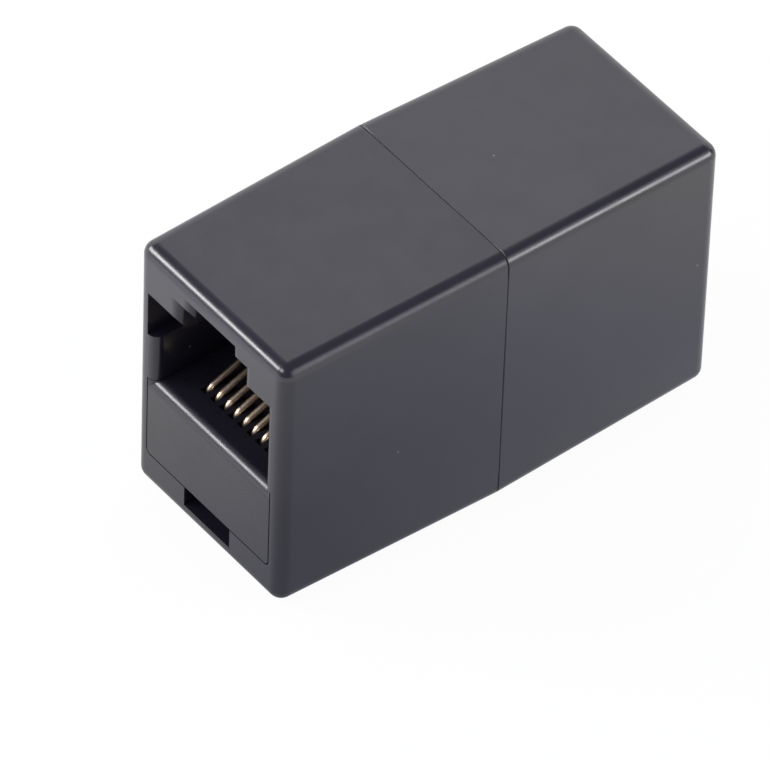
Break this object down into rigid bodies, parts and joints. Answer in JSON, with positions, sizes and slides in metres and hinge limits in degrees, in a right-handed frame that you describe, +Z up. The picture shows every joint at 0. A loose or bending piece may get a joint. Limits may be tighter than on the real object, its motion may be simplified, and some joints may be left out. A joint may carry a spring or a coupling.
{
  "type": "rj45 inline coupler",
  "caption": "Black moulded in-line coupler with a modular data port in each end, for joining patch leads end to end.",
  "frame": {"origin": "on the ground under the middle of the seam, where the two shells meet", "axes": "+Y along the length, from the front port to the rear port; +Z up, on the latch side of both ports; +X to the right when the front port is looked into"},
  "size_m": [0.0168, 0.0376, 0.0229],
  "materials": {
    "shell_plastic": "black moulded plastic, satin, with a fine spark-eroded grain",
    "insert_plastic": "black moulded plastic, satin, a little smoother than the shell",
    "contact_gold": "gold plated, polished round wire",
    "board_laminate": "green solder mask on glass laminate",
    "solder": "bright tin solder"
  },
  "bodies": {
    "root": {"front_shell": "shell_plastic", "rear_shell": "shell_plastic", "front_insert": "insert_plastic", "rear_insert": "insert_plastic", "circuit_board": "board_laminate", "solder_joints": "solder", "front_contact_1": "contact_gold", "front_contact_2": "contact_gold", "front_contact_3": "contact_gold", "front_contact_4": "contact_gold", "front_contact_5": "contact_gold", "front_contact_6": "contact_gold", "front_contact_7": "contact_gold", "front_contact_8": "contact_gold", "rear_contact_1": "contact_gold", "rear_contact_2": "contact_gold", "rear_contact_3": "contact_gold", "rear_contact_4": "contact_gold", "rear_contact_5": "contact_gold", "rear_contact_6": "contact_gold", "rear_contact_7": "contact_gold", "rear_contact_8": "contact_gold"}
  },
  "joints": []
}
